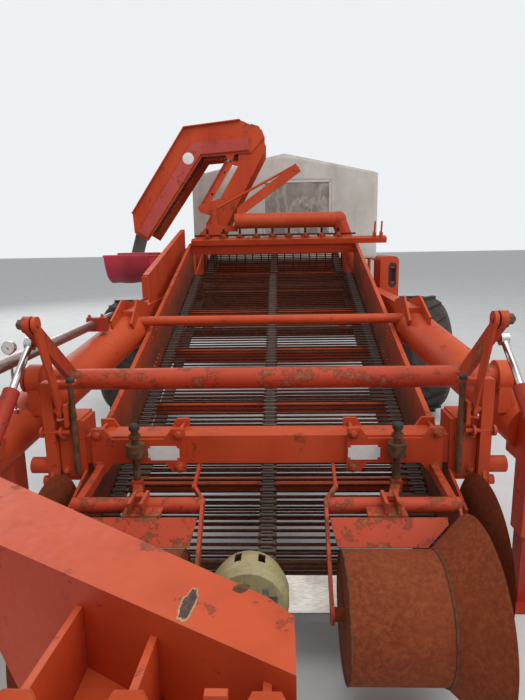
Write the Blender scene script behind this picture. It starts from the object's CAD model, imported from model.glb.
# %% [markdown]
# # A trailed potato harvester, seen over its sieving web
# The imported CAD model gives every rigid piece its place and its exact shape. It could be rendered
# as it is, but a machine that has worked for years is known by its faded paint, rust and dust. So
# this script dresses it: each piece gets a worn finish, the plain soft solids are swapped for
# cloth, and the small hardware is added.

# %% Load the frame
import math

import bmesh
import bpy
from mathutils import Matrix, Vector, noise


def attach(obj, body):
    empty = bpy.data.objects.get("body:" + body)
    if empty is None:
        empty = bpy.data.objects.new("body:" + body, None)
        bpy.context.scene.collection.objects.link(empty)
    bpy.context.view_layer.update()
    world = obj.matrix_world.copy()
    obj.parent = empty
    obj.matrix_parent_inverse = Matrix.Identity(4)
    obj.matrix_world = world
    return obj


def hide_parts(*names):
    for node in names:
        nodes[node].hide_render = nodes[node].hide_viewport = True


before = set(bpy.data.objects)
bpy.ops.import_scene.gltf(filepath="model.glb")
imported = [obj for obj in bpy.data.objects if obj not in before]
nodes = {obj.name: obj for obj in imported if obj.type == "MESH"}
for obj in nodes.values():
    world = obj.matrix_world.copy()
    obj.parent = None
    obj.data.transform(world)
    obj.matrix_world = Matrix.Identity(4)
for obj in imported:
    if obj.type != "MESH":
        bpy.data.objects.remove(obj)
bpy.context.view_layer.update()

# %% [markdown]
# ## The camera
# The photograph was taken standing over the tongue and looking back up the web. A camera could be
# placed by eye and nudged, but the picture itself says where it stood. The horizon lies above the
# middle, so the camera looks down by about eleven degrees. The two side plates run together to a
# point a little left of the middle, so it also turns slightly left. A focal length is a number of
# pixels per unit of slope, and Blender wants it as millimetres on a 36 mm wide sensor.

# %% Camera
PHOTO_WIDTH_PX, FOCAL_PX = 525, 545.0
VANISHING_POINT_PX = 19.5
SENSOR_MM = 36.0
PITCH = math.radians(11.4)
TURN = math.atan(VANISHING_POINT_PX / FOCAL_PX * math.cos(PITCH))
ROLL = math.radians(1.0)
EYE = Vector((0.069, -3.55, 1.6))

forward = Vector((-math.sin(TURN) * math.cos(PITCH), math.cos(TURN) * math.cos(PITCH),
                  -math.sin(PITCH)))
level = Vector((math.cos(TURN), math.sin(TURN), 0.0))
upright = level.cross(forward)
right = level * math.cos(ROLL) - upright * math.sin(ROLL)
up = level * math.sin(ROLL) + upright * math.cos(ROLL)

camera_data = bpy.data.cameras.new("camera")
camera_data.sensor_fit = "HORIZONTAL"
camera_data.sensor_width = SENSOR_MM
camera_data.lens = FOCAL_PX / PHOTO_WIDTH_PX * SENSOR_MM
camera_data.clip_start = 0.02
camera = bpy.data.objects.new("camera", camera_data)
turn = Matrix((right, up, -forward)).transposed()
camera.matrix_world = Matrix.Translation(EYE) @ turn.to_4x4()
bpy.context.collection.objects.link(camera)
bpy.context.scene.camera = camera
print("lens", round(camera_data.lens, 2), "mm")

# %% [markdown]
# ## The sky
# The day was bright and overcast: soft light from everywhere. A sun lamp would draw hard shadows
# that an overcast day hasn't, so the world itself carries most of the light. The pale background
# is a second, brighter sky. It shows to the camera, in reflections and through clear foil, and it
# adds nothing to the soft light that falls on the paint.

# %% World
scene = bpy.context.scene
scene.view_settings.view_transform = "Standard"

world = bpy.data.worlds.new("overcast")
scene.world = world
world.use_nodes = True
sky_tree = world.node_tree
sky_tree.nodes.clear()


def sky(colour, strength):
    """A sky of one colour."""
    node = sky_tree.nodes.new("ShaderNodeBackground")
    node.inputs["Color"].default_value = (*colour, 1.0)
    node.inputs["Strength"].default_value = strength
    return node.outputs[0]


sky_light = sky((0.93, 0.96, 1.0), 0.56)
sky_seen = sky((0.86, 0.88, 0.90), 1.0)
rays = sky_tree.nodes.new("ShaderNodeLightPath")
seen = rays.outputs["Is Camera Ray"]
for kind in ("Is Transmission Ray", "Is Glossy Ray"):
    either = sky_tree.nodes.new("ShaderNodeMath")
    either.operation = "MAXIMUM"
    sky_tree.links.new(seen, either.inputs[0])
    sky_tree.links.new(rays.outputs[kind], either.inputs[1])
    seen = either.outputs[0]
pick = sky_tree.nodes.new("ShaderNodeMixShader")
for socket, source in zip(pick.inputs, (seen, sky_light, sky_seen)):
    sky_tree.links.new(source, socket)
world_out = sky_tree.nodes.new("ShaderNodeOutputWorld")
sky_tree.links.new(pick.outputs[0], world_out.inputs[0])
print("world", world.name, "with", len(sky_tree.nodes), "nodes")

# %% [markdown]
# ## The lamps
# Even on a dull day the top of a beam is lighter than its side, and that is what gives a machine
# its shape. The world alone leaves it flat, so three broad area lamps help: one above, one at the
# right in front and one at the left behind. A broad lamp keeps every shadow soft.


# %% Lamps
def area_lamp(name, place, aim, size, watts):
    """A broad soft lamp that looks at a point."""
    data = bpy.data.lights.new(name, "AREA")
    data.size = size
    data.energy = watts
    lamp = bpy.data.objects.new(name, data)
    lamp.location = place
    lamp.rotation_euler = (Vector(aim) - Vector(place)).to_track_quat("-Z", "Y").to_euler()
    bpy.context.collection.objects.link(lamp)


area_lamp("sky_lamp", (1.5, -3.0, 9.0), (0, 0.5, 0.8), 9.0, 480)
area_lamp("side_lamp", (7.0, -6.0, 5.0), (0, 0, 0.8), 5.0, 240)
area_lamp("back_lamp", (-6.0, 8.0, 6.0), (0, 1.5, 1.0), 6.0, 320)

# %% [markdown]
# ## How the finishes are made
# A worn surface could be painted on an unwrapped image, but then every bar and plate needs its own
# unwrapping. Here a few layers of noise in the object's own metres decide where the surface is
# clean, dull, chipped or rusted. Such noise has the same grain on a thin bar as on a wide plate,
# and it never slides when a joint moves. This class gives short names to the nodes it takes.


# %% Small node helpers
class Finish:
    """A material under construction."""

    def __init__(self, name):
        self.material = bpy.data.materials.new(name)
        self.material.use_nodes = True
        self.tree = self.material.node_tree
        self.tree.nodes.clear()
        self.shader = self.node("ShaderNodeBsdfPrincipled")
        self.link(self.shader.outputs[0], self.node("ShaderNodeOutputMaterial").inputs[0])
        self.coords = self.node("ShaderNodeTexCoord").outputs["Object"]

    def node(self, kind, **settings):
        node = self.tree.nodes.new(kind)
        for name, value in settings.items():
            setattr(node, name, value)
        return node

    def link(self, source, socket):
        self.tree.links.new(source, socket)

    def feed(self, socket, value):
        """Links an output to a socket, or writes a plain number or colour there."""
        if isinstance(value, bpy.types.NodeSocket):
            self.link(value, socket)
        elif isinstance(value, (int, float)):
            socket.default_value = value
        else:
            socket.default_value = (*value, 1.0)

    def noise(self, scale, detail=4.0, rough=0.55, stretch=None):
        """Noise of so many features per metre; stretch pulls it along an axis."""
        node = self.node("ShaderNodeTexNoise")
        node.inputs["Scale"].default_value = scale
        node.inputs["Detail"].default_value = detail
        node.inputs["Roughness"].default_value = rough
        source = self.coords
        if stretch:
            mapping = self.node("ShaderNodeMapping")
            mapping.inputs["Scale"].default_value = stretch
            self.link(self.coords, mapping.inputs["Vector"])
            source = mapping.outputs[0]
        self.link(source, node.inputs["Vector"])
        return node.outputs["Fac"]

    def ramp(self, value, stops):
        """Turns a 0 to 1 value into a colour or a mask through a few stops."""
        node = self.node("ShaderNodeValToRGB")
        elements = node.color_ramp.elements
        while len(elements) < len(stops):
            elements.new(0.5)
        for element, (place, colour) in zip(elements, stops):
            element.position = place
            if isinstance(colour, (int, float)):
                colour = (colour, colour, colour)
            element.color = (*colour, 1.0)
        self.link(value, node.inputs[0])
        return node.outputs[0]

    def fade(self, value, start, end, low=0.0, high=1.0):
        """Runs from low to high while the value goes from start to end."""
        return self.ramp(value, [(start, low), (end, high)])

    def mix(self, mask, a, b):
        """Blends two colours; either may be an output or a plain colour."""
        node = self.node("ShaderNodeMix", data_type="RGBA")
        for place, value in ((0, mask), (6, a), (7, b)):
            self.feed(node.inputs[place], value)
        return node.outputs[2]

    def math(self, operation, a, b):
        node = self.node("ShaderNodeMath", operation=operation)
        self.feed(node.inputs[0], a)
        self.feed(node.inputs[1], b)
        return node.outputs[0]

    def times(self, a, b):
        return self.math("MULTIPLY", a, b)

    def split(self, vector):
        """The three parts of a direction or a place."""
        node = self.node("ShaderNodeSeparateXYZ")
        self.link(vector, node.inputs[0])
        return node.outputs

    def facing_up(self):
        """1 on level tops, 0 on walls: dust settles by this."""
        normal = self.node("ShaderNodeNewGeometry").outputs["Normal"]
        return self.math("MAXIMUM", self.split(normal)[2], 0.0)

    def edges(self, radius=0.006):
        """Over 0 on sharp edges: the rounded normal turns away from the flat one there."""
        rounded = self.node("ShaderNodeBevel", samples=4)
        rounded.inputs["Radius"].default_value = radius
        product = self.node("ShaderNodeVectorMath", operation="DOT_PRODUCT")
        self.link(rounded.outputs[0], product.inputs[0])
        self.link(self.node("ShaderNodeNewGeometry").outputs["Normal"], product.inputs[1])
        return self.math("SUBTRACT", 1.0, product.outputs["Value"])

    def inner_walls(self, low, high):
        """1 where the distance from the centre plane lies between low and high."""
        away = self.math("ABSOLUTE", self.split(self.coords)[0], 0.0)
        return self.times(self.math("GREATER_THAN", away, low),
                          self.math("LESS_THAN", away, high))

    def above_slope(self, slope, offset):
        """Height over a plane that climbs towards the back at the given angle."""
        parts = self.split(self.coords)
        rise = self.math("SUBTRACT", self.times(parts[2], math.cos(slope)),
                         self.times(parts[1], math.sin(slope)))
        return self.math("SUBTRACT", rise, offset)

    def bump(self, height, strength, distance=0.002):
        node = self.node("ShaderNodeBump")
        node.inputs["Strength"].default_value = strength
        node.inputs["Distance"].default_value = distance
        self.link(height, node.inputs["Height"])
        self.link(node.outputs[0], self.shader.inputs["Normal"])

    def colour(self, output):
        self.link(output, self.shader.inputs["Base Color"])

    def roughness(self, output):
        self.link(output, self.shader.inputs["Roughness"])

    def set(self, **values):
        for name, value in values.items():
            self.shader.inputs[name.replace("_", " ")].default_value = value


def darker(colour, amount):
    """A colour times a number, which may also be over 1."""
    return tuple(amount * v for v in colour)


print("finish helpers ready")

# %% [markdown]
# ## Worn red-orange paint
# The frame was sprayed a warm red-orange and has stood in the sun. It is paler on top, where the
# light bleaches it and dust lies, and redder on the sides. One colour with a scratch pattern would
# look new, so the paint is built as it aged: faded, streaked by rain, dusted, then chipped. A chip
# shows a dark rim first and then rust, and thin wear runs along the edges that get knocked. Inside
# the web's side plates all that went past has scoured the walls down to brown steel.

# %% Paint
PAINT_ROUGH, PAINT_SHINE = 0.48, 0.20
CHIP_RUST, RUST_ROUGH = (0.17, 0.055, 0.025), 0.9
DRY_SOIL = (0.40, 0.19, 0.09)
SCOURED_DARK, SCOURED_LIGHT = (0.075, 0.026, 0.018), (0.20, 0.058, 0.030)
WEB_SLOPE = math.radians(16.9)


def worn_paint(name, top, side, chips=0.63, scoured=None):
    """Aged paint; a lower value of chips takes more off, scoured says which walls are rubbed."""
    f = Finish(name)
    cloud = f.noise(2.3, 5.0, 0.6)
    fine = f.noise(38.0, 6.0, 0.65)
    scars = f.noise(11.0, 8.0, 0.72)
    streaks = f.noise(6.0, 4.0, 0.5, stretch=(1.0, 1.0, 0.15))
    tone = f.mix(f.fade(cloud, 0.3, 0.75), side, top)
    tone = f.mix(f.times(f.facing_up(), 0.55), tone, top)
    tone = f.mix(f.times(f.fade(streaks, 0.48, 0.72), 0.35), tone, darker(side, 0.55))
    dust = f.times(f.facing_up(), f.fade(fine, 0.35, 0.8, high=0.5))
    tone = f.mix(f.times(dust, 0.20), tone, DRY_SOIL)
    rim = f.fade(scars, chips - 0.025, chips)
    core = f.fade(scars, chips + 0.01, chips + 0.03)
    rust_tone = f.mix(f.fade(fine, 0.35, 0.65), CHIP_RUST, darker(CHIP_RUST, 2.1))
    tone = f.mix(f.times(rim, 0.6), tone, darker(side, 0.3))
    tone = f.mix(core, tone, rust_tone)
    worn = f.times(f.edges(), f.fade(fine, 0.38, 0.6))
    worn = f.times(worn, f.fade(cloud, 0.35, 0.65, low=0.3))
    tone = f.mix(f.fade(worn, 0.05, 0.16), tone, rust_tone)
    if scoured:
        patch = f.fade(f.noise(5.0, 8.0, 0.7), 0.30, 0.50, low=0.25)
        patch = f.times(f.inner_walls(*scoured[:2]), patch)
        height = f.above_slope(WEB_SLOPE, scoured[2])
        patch = f.times(patch, f.fade(height, 0.10, 0.27, low=1.0, high=0.25))
        brown = f.mix(f.fade(fine, 0.3, 0.7), SCOURED_DARK, SCOURED_LIGHT)
        tone = f.mix(patch, tone, brown)
    f.colour(tone)
    rough = f.fade(fine, 0.2, 0.9, low=PAINT_ROUGH - 0.08, high=PAINT_ROUGH + 0.2)
    f.roughness(f.mix(core, rough, (RUST_ROUGH, RUST_ROUGH, RUST_ROUGH)))
    f.bump(f.math("ADD", f.times(fine, 0.25), f.times(core, -0.6)), 0.35, 0.0015)
    f.set(Specular_IOR_Level=PAINT_SHINE)
    return f.material


print("paint recipe ready")

# %% [markdown]
# ## The paints of this machine
# One tin of paint ages differently from piece to piece. A single material on all of them would
# make the machine look like one casting, so the recipe is called again with other fading and chips:
# rubbed tubes, a pinkish panel, a deeper red on the rams and stands, and orange wheel rims.

# %% Painted finishes
ORANGE_TOP, ORANGE_SIDE = (0.53, 0.078, 0.020), (0.46, 0.040, 0.013)
INNER_WALL_FROM, INNER_WALL_TO, WEB_PLANE = 0.745, 0.7525, 0.7615
PAINT = worn_paint("faded_red_orange_paint", ORANGE_TOP, ORANGE_SIDE)
PAINT_WEB = worn_paint("web_side_paint", ORANGE_TOP, ORANGE_SIDE, chips=0.60,
                       scoured=(INNER_WALL_FROM, INNER_WALL_TO, WEB_PLANE))
PAINT_PANEL = worn_paint("faded_panel_paint", (0.50, 0.088, 0.070), (0.42, 0.052, 0.040), 0.62)
PAINT_TUBE = worn_paint("rubbed_tube_paint", (0.49, 0.068, 0.026), (0.38, 0.034, 0.014), 0.545)
PAINT_DEEP = worn_paint("deep_red_paint", (0.38, 0.036, 0.018), (0.29, 0.021, 0.012), 0.60)
PAINT_RIM = worn_paint("orange_rim_paint", (0.60, 0.09, 0.03), (0.48, 0.05, 0.02), 0.60)
OVERSPRAYED = worn_paint("painted_fastener", (0.55, 0.085, 0.03), (0.42, 0.04, 0.016), 0.52)
print("paints", PAINT.name, PAINT_DEEP.name)

# %% [markdown]
# ## Rust
# The ridge rollers and discs work in soil, so they come out polished and then rust within days:
# an orange-brown bloom with paler specks. The web's rods are darker, more brown than orange.
# Rust could be one brown colour with a rough surface, but real rust has three sizes of pattern:
# clouds, specks and flakes. Three noises, each finer than the last, give them.


# %% Rusted steel
def rusted(name, dark, mid, light, grain=30.0, metal=0.25):
    """Rust of three tones; grain is the number of specks per metre."""
    f = Finish(name)
    cloud = f.noise(4.0, 6.0, 0.6)
    speck = f.noise(grain, 8.0, 0.75)
    flake = f.noise(grain * 5, 4.0, 0.6)
    tone = f.mix(f.fade(cloud, 0.3, 0.7), dark, mid)
    tone = f.mix(f.fade(speck, 0.42, 0.68), tone, light)
    tone = f.mix(f.times(f.fade(flake, 0.55, 0.7), 0.5), tone, darker(dark, 0.45))
    f.colour(tone)
    f.roughness(f.fade(speck, 0.2, 0.8, low=0.67, high=0.94))
    f.bump(f.math("ADD", speck, f.times(flake, 0.4)), 0.45, 0.0012)
    f.set(Metallic=metal, Specular_IOR_Level=0.12)
    return f.material


RUST_DRUM = rusted("orange_rust", (0.14, 0.028, 0.010), (0.20, 0.042, 0.015),
                   (0.27, 0.068, 0.025), grain=55.0, metal=0.0)
RUST_ROD = rusted("brown_rust", (0.020, 0.006, 0.004), (0.058, 0.016, 0.009),
                  (0.13, 0.040, 0.020), grain=60.0)
RUST_DARK = rusted("dark_rust", (0.055, 0.03, 0.02), (0.12, 0.055, 0.03), (0.20, 0.10, 0.05))
print("rusts", RUST_DRUM.name, RUST_ROD.name, RUST_DARK.name)

# %% [markdown]
# ## Bare steel, chrome, cast iron
# The ram rods are chromed and keep a thin film of oil, the shares are scoured by soil, and the
# gearbox is black with old grease. A metal has hardly a colour of its own: what tells one from
# another is how sharply it mirrors the sky. So one recipe serves for all of them, with its
# roughness and its share of bare metal as the main choices. Noise pulled along one axis gives the
# brushing.

# %% Metals
BRUSHED = (1.0, 12.0, 1.0)


def bare_metal(name, dark, light, rough, metal=1.0, bumpy=0.15):
    """Brushed or cast metal under a patchy film; rough is its smoothest part."""
    f = Finish(name)
    brushed = f.noise(40.0, 4.0, 0.5, stretch=BRUSHED)
    cloud = f.noise(7.0, 5.0, 0.6)
    tone = f.mix(f.fade(brushed, 0.3, 0.7), dark, light)
    tone = f.mix(f.times(f.fade(cloud, 0.5, 0.75), 0.5), tone, darker(dark, 0.5))
    f.colour(tone)
    f.roughness(f.fade(cloud, 0.2, 0.9, low=rough, high=min(1.0, rough + 0.2)))
    f.bump(brushed, bumpy, 0.0006)
    f.set(Metallic=metal)
    return f.material


CHROME = bare_metal("oiled_chrome", (0.42, 0.40, 0.39), (0.62, 0.60, 0.58), 0.14, bumpy=0.03)
CLIP_STEEL = bare_metal("dusty_clip_steel", (0.075, 0.058, 0.048), (0.15, 0.12, 0.10), 0.6, 0.35)
WORN_SHAFT = bare_metal("worn_shaft_steel", (0.30, 0.22, 0.20), (0.48, 0.38, 0.35), 0.3)
SHARE = bare_metal("scoured_steel", (0.30, 0.27, 0.24), (0.50, 0.47, 0.43), 0.38)
IRON = bare_metal("greasy_iron", (0.035, 0.034, 0.033), (0.075, 0.07, 0.065), 0.45, 0.4)
DECK = bare_metal("worn_deck_plate", (0.17, 0.13, 0.11), (0.30, 0.24, 0.20), 0.6, 0.5)
FASTENER = bare_metal("rusty_fastener", (0.09, 0.045, 0.03), (0.20, 0.12, 0.08), 0.6, 0.55)
print("metals", CHROME.name, SHARE.name, IRON.name)

# %% [markdown]
# ## Rubber
# Belts and tyres are black rubber under grey-brown soil dust, which gathers on the flats and in
# the hollows. Plain black would look wet and new. Two noises multiplied give dust that is patchy
# at arm's length and gritty close by. The roughness stays high, since dusty rubber never shines.


# %% Rubber
def dusty_rubber(name, black, dust, amount, rough=0.78):
    """Rubber with soil dust; amount is how much of the dust shows."""
    f = Finish(name)
    cloud = f.noise(5.0, 6.0, 0.65)
    grit = f.noise(45.0, 7.0, 0.7)
    mask = f.times(f.fade(cloud, 0.3, 0.7, low=0.25), amount)
    mask = f.times(mask, f.fade(grit, 0.3, 0.7, low=0.35))
    f.colour(f.mix(mask, black, dust))
    f.roughness(f.fade(grit, 0.2, 0.9, low=rough - 0.1, high=min(1.0, rough + 0.18)))
    f.bump(grit, 0.3, 0.001)
    f.set(Specular_IOR_Level=0.35)
    return f.material


TYRE = dusty_rubber("tyre_rubber", (0.020, 0.019, 0.018), (0.13, 0.10, 0.075), 0.55)
BELT = dusty_rubber("web_belt", (0.070, 0.048, 0.040), (0.24, 0.165, 0.125), 0.75)
ELEV_BELT = dusty_rubber("elevator_belt", (0.028, 0.026, 0.024), (0.11, 0.09, 0.07), 0.6)
FLAP = dusty_rubber("grey_flap_rubber", (0.14, 0.17, 0.155), (0.26, 0.27, 0.24), 0.6, rough=0.7)
RUBBER = dusty_rubber("black_rubber", (0.014, 0.014, 0.014), (0.08, 0.07, 0.055), 0.4, rough=0.65)
print("rubbers", TYRE.name, BELT.name, FLAP.name)

# %% [markdown]
# ## Old plastic
# The drive shaft's guard was yellow and has gone olive. Moulded plastic has no grain, so its age
# shows as stains and specks of dirt in the colour, with hardly any bump. The blank plates are the
# same recipe in white.


# %% Plastic
def old_plastic(name, base, stain, rough=0.5, specks=0.6):
    """Stained plastic; specks is how dark its specks of dirt are."""
    f = Finish(name)
    cloud = f.noise(9.0, 5.0, 0.6)
    grit = f.noise(70.0, 5.0, 0.7)
    tone = f.mix(f.fade(cloud, 0.35, 0.75), base, stain)
    tone = f.mix(f.times(f.fade(grit, 0.52, 0.66), specks), tone, darker(stain, 0.35))
    f.colour(tone)
    f.roughness(f.fade(grit, 0.2, 0.8, low=rough - 0.1, high=rough + 0.2))
    f.bump(grit, 0.12, 0.0008)
    return f.material


GUARD = old_plastic("olive_yellow_plastic", (0.33, 0.28, 0.13), (0.24, 0.20, 0.10), specks=0.35)
PLATE_WHITE = old_plastic("blank_white_plate", (0.74, 0.74, 0.72), (0.62, 0.61, 0.57), 0.4, 0.1)
print("plastics", GUARD.name, PLATE_WHITE.name)

# %% [markdown]
# ## Cloth
# The cover is a coated off-white tarpaulin, creased and stained, and the trough's cloth is a deep
# crimson with a soft sheen. Threads could be modelled, but at this distance they are finer than a
# pixel. Two crossed waves draw the weave instead, and a pulled noise the creases: both go into the
# colour and into the bump.

# %% Cloths
CLOTH_ROUGH = 0.75


def woven_cloth(name, base, shade, threads=420.0):
    """Woven cloth; threads says how close its waves stand."""
    f = Finish(name)
    cloud = f.noise(2.6, 6.0, 0.62)
    crease = f.noise(7.0, 3.0, 0.45, stretch=(1.0, 1.0, 0.35))
    waves = [f.node("ShaderNodeTexWave", bands_direction=axis) for axis in ("X", "Z")]
    for wave in waves:
        wave.inputs["Scale"].default_value = threads / 6.3
        f.link(f.coords, wave.inputs["Vector"])
    weave = f.math("ADD", *[wave.outputs["Fac"] for wave in waves])
    tone = f.mix(f.fade(cloud, 0.35, 0.75), base, shade)
    tone = f.mix(f.times(f.fade(crease, 0.5, 0.7), 0.35), tone, darker(shade, 0.6))
    tone = f.mix(f.times(weave, 0.06), tone, darker(shade, 0.7))
    f.colour(tone)
    f.roughness(f.fade(cloud, 0.2, 0.9, low=CLOTH_ROUGH - 0.12, high=CLOTH_ROUGH + 0.15))
    f.bump(f.math("ADD", f.times(weave, 0.1), crease), 0.35, 0.004)
    f.set(Sheen_Weight=0.25)
    return f.material


TARP = woven_cloth("off_white_tarpaulin", (0.60, 0.56, 0.52), (0.45, 0.41, 0.36))
CRIMSON = woven_cloth("crimson_cloth", (0.52, 0.022, 0.05), (0.30, 0.012, 0.028), threads=600.0)
print("cloths", TARP.name, CRIMSON.name)

# %% [markdown]
# ## Dressing the CAD pieces
# The rigid pieces already have the right shape, so each keeps its mesh and only gets a finish. It
# could be done piece by piece, but a table of finishes and the pieces that wear them is easier to
# read, and a piece that was forgotten shows in the count.

# %% Finishes for the CAD nodes
FINISHES = {
    PAINT_WEB: ["intake_frame"],
    PAINT_TUBE: ["lift_shaft", "roller_frames"],
    PAINT: ["main_frame", "ram_brackets", "axle_hangers", "rear_frame", "drawbar_beam",
            "cross_beam", "disc_arms", "link_left", "link_right", "tine_rail", "second_frame",
            "picking_table", "railings", "canopy_frame", "arch_tube", "chain_guard_left",
            "chain_guard_right", "elevator_mast", "elevator_lower", "elevator_upper", "tongue"],
    PAINT_DEEP: ["axle", "stand_left", "stand_right", "drive_shaft", "lift_barrel_left",
                 "lift_barrel_right", "fold_barrel"],
    PAINT_RIM: ["rim_left", "rim_right"],
    TYRE: ["tyre_left", "tyre_right"],
    IRON: ["pto_gearbox"],
    GUARD: ["pto_guard"],
    RUST_ROD: ["web_rods", "second_web", "tines"],
    RUST_DARK: ["web_rollers", "spindles"],
    RUST_DRUM: ["ridge_roller_left", "ridge_roller_right", "disc_left", "disc_right"],
    SHARE: ["shares"],
    BELT: ["web_belts", "picking_belt", "second_rollers"],
    ELEV_BELT: ["elevator_lower_web", "elevator_upper_web"],
    CHROME: ["lift_rod_left", "lift_rod_right", "fold_rod"],
    DECK: ["platform"],
    TARP: ["canopy"],
    CRIMSON: ["chute"],
    FLAP: ["flap"],
}
dressed = 0
for finish, names in FINISHES.items():
    for name in names:
        slots = nodes[name].data.materials
        slots.clear()
        slots.append(finish)
        dressed += 1
print("dressed", dressed, "of", len(nodes))

# %% [markdown]
# ## How the small pieces are made
# Bolts, nuts, caps and coils are all rings of points joined to the next ring, and a sheet is rows
# of points joined to the next row. They could be added as ready-made cylinders and planes, which
# gives hundreds of objects with no chamfers. A few helpers that join rows of points make all of
# them, and a row of like fasteners becomes one mesh, which keeps the list of pieces short.


# %% Rows, rings and finished pieces
def on_circle(radius, count, start=0.0):
    """Evenly spaced points on a circle, as pairs."""
    angles = [start + 2 * math.pi * k / count for k in range(count)]
    return [(radius * math.cos(a), radius * math.sin(a)) for a in angles]


def join_rows(bm, rows, closed=False):
    """Joins neighbouring rows of points with four-sided faces; closed joins each row's ends."""
    for low, high in zip(rows, rows[1:]):
        size = len(low)
        for k in range(size if closed else size - 1):
            after = (k + 1) % size
            bm.faces.new((low[k], low[after], high[after], high[k]))


def join_rings(bm, rings):
    """Joins closed rings and closes both ends."""
    join_rows(bm, rings, closed=True)
    bm.faces.new(list(reversed(rings[0])))
    bm.faces.new(rings[-1])


def thicken_outline(bm, points, push):
    """A flat outline pushed along a vector into a plate."""
    face = bm.faces.new([bm.verts.new(p) for p in points])
    for part in bmesh.ops.extrude_face_region(bm, geom=[face])["geom"]:
        if isinstance(part, bmesh.types.BMVert):
            part.co += Vector(push)


def finished_piece(name, bm, finish, body, crease=32):
    """Turns a bmesh into a piece with its finish, riding on a body."""
    mesh = bpy.data.meshes.new(name)
    bmesh.ops.recalc_face_normals(bm, faces=bm.faces[:])
    bm.to_mesh(mesh)
    bm.free()
    mesh.shade_smooth()
    mesh.set_sharp_from_angle(angle=math.radians(crease))
    mesh.materials.append(finish)
    piece = bpy.data.objects.new(name, mesh)
    bpy.context.collection.objects.link(piece)
    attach(piece, body)
    return piece


print("mesh helpers ready")

# %% [markdown]
# ## Bolts and rivets
# A bolt that holds a farm machine together is a washer, a hexagon head with its corners turned
# off, and often the end of a thread. A hexagon alone looks like a toy at this size, so each part
# is a stack of rings with its own number of sides: eighteen for the washer, six for the head.


# %% Bolts and rivets
def ring_stack(bm, place, direction, rings, sides, spin=0.0):
    """Joins rings of (height, radius) along a direction, and closes both ends."""
    turn = Vector(direction).to_track_quat("Z", "Y").to_matrix()
    join_rings(bm, [[bm.verts.new(Vector(place) + turn @ Vector((x, y, height)))
                     for x, y in on_circle(radius, sides, spin)] for height, radius in rings])


def bolt(bm, place, direction, across=0.024, tail=0.006, spin=0.0):
    """A washer, a chamfered hexagon and the end of a thread, standing on a surface."""
    washer, corner, thread = across * 0.92, across * 0.577, across * 0.3
    seat, chamfer = 0.003, 0.0015
    high = seat + across * 0.6
    ring_stack(bm, place, direction,
               [(-0.001, washer), (0.0022, washer), (seat, across * 0.86)], 18)
    ring_stack(bm, place, direction,
               [(0.002, corner), (high, corner), (high + chamfer, corner * 0.86)], 6, spin)
    if tail:
        end = high + tail
        ring_stack(bm, place, direction,
                   [(high, thread), (end, thread), (end + chamfer, across * 0.22)], 12)


def rivet(bm, place, direction, radius=0.006, sides=8):
    """A low domed head."""
    dome = [(0.0, radius), (radius * 0.35, radius * 0.85), (radius * 0.55, radius * 0.4)]
    ring_stack(bm, place, direction, dome, sides)


SIDES = (("left", -1), ("right", 1))
FORWARD, BACKWARD, UPWARD = (0, -1, 0), (0, 1, 0), (0, 0, 1)
print("fastener helpers ready")

# %% [markdown]
# ## Bolts of the front cross beam
# Each clamp is two plates, before and behind the beam, drawn together by four long bolts that
# pass above and below it. The columns at the beam's ends carry their own bolted face plates. The
# bolts could be in the solid model, but they carry no load there, and here they get a washer and a
# thread end. Each is turned a little differently, because no one lines up bolt heads.

# %% Clamp and column bolts
BEAM_Y, BEAM_Z = -1.350, 0.747
CLAMP_X = 0.530
CLAMP_FACE, CLAMP_INSIDE, CLAMP_ROD = 0.074, 0.058, 0.008
CLAMP_BOLT_X, CLAMP_BOLT_Z, CLAMP_BOLT_SIZE = 0.17, 0.072, 0.027
COLUMN_X, COLUMN_FACE_Y, COLUMN_BOLTS_Z = 0.834, -1.432, (0.668, 0.818)
bm = bmesh.new()
for label, side in SIDES:
    for across in (-CLAMP_BOLT_X, CLAMP_BOLT_X):
        for lift in (-CLAMP_BOLT_Z, CLAMP_BOLT_Z):
            x, z = side * CLAMP_X + across, BEAM_Z + lift
            bolt(bm, (x, BEAM_Y - CLAMP_FACE, z), FORWARD, CLAMP_BOLT_SIZE, spin=x)
            bolt(bm, (x, BEAM_Y + CLAMP_FACE, z), BACKWARD, CLAMP_BOLT_SIZE, spin=z)
            ring_stack(bm, (x, BEAM_Y - CLAMP_INSIDE, z), BACKWARD,
                       [(0, CLAMP_ROD), (2 * CLAMP_INSIDE, CLAMP_ROD)], 12)
    for z in COLUMN_BOLTS_Z:
        bolt(bm, (side * COLUMN_X, COLUMN_FACE_Y, z), FORWARD, spin=z)
clamp_bolts = finished_piece("clamp_bolts", bm, OVERSPRAYED, "intake")
print("clamp bolts:", len(clamp_bolts.data.polygons), "faces")

# %% [markdown]
# ## Blank plates on the clamps
# Two white sheet-metal plates with rounded corners are screwed to the front clamp plates. They
# stay blank. An outline with arcs could be drawn for them, but bevelling the four upright edges of
# a thin box does the same in one step, and a second, smaller bevel rounds the front rim.


# %% Plates
def rounded_plate(name, centre, size, finish, body, corner=0.010, holes=True):
    """A thin plate that faces forward, with round corners and a screw at each end."""
    width, thick, tall = size
    bm = bmesh.new()
    bmesh.ops.create_cube(bm, size=1.0)
    for vert in bm.verts:
        vert.co = Vector((vert.co.x * width, vert.co.y * thick, vert.co.z * tall))
    upright = [e for e in bm.edges if abs((e.verts[0].co - e.verts[1].co).y) > 0.9 * thick]
    bmesh.ops.bevel(bm, geom=upright, offset=corner, segments=4, affect="EDGES")
    rim = [e for e in bm.edges if all(v.co.y < -0.4 * thick for v in e.verts)]
    bmesh.ops.bevel(bm, geom=rim, offset=thick * 0.35, segments=2, affect="EDGES")
    if holes:
        for x in (-width / 2 + 0.008, width / 2 - 0.008):
            rivet(bm, (x, -thick / 2, 0), FORWARD, 0.0035)
    for vert in bm.verts:
        vert.co += Vector(centre)
    return finished_piece(name, bm, finish, body)


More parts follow.
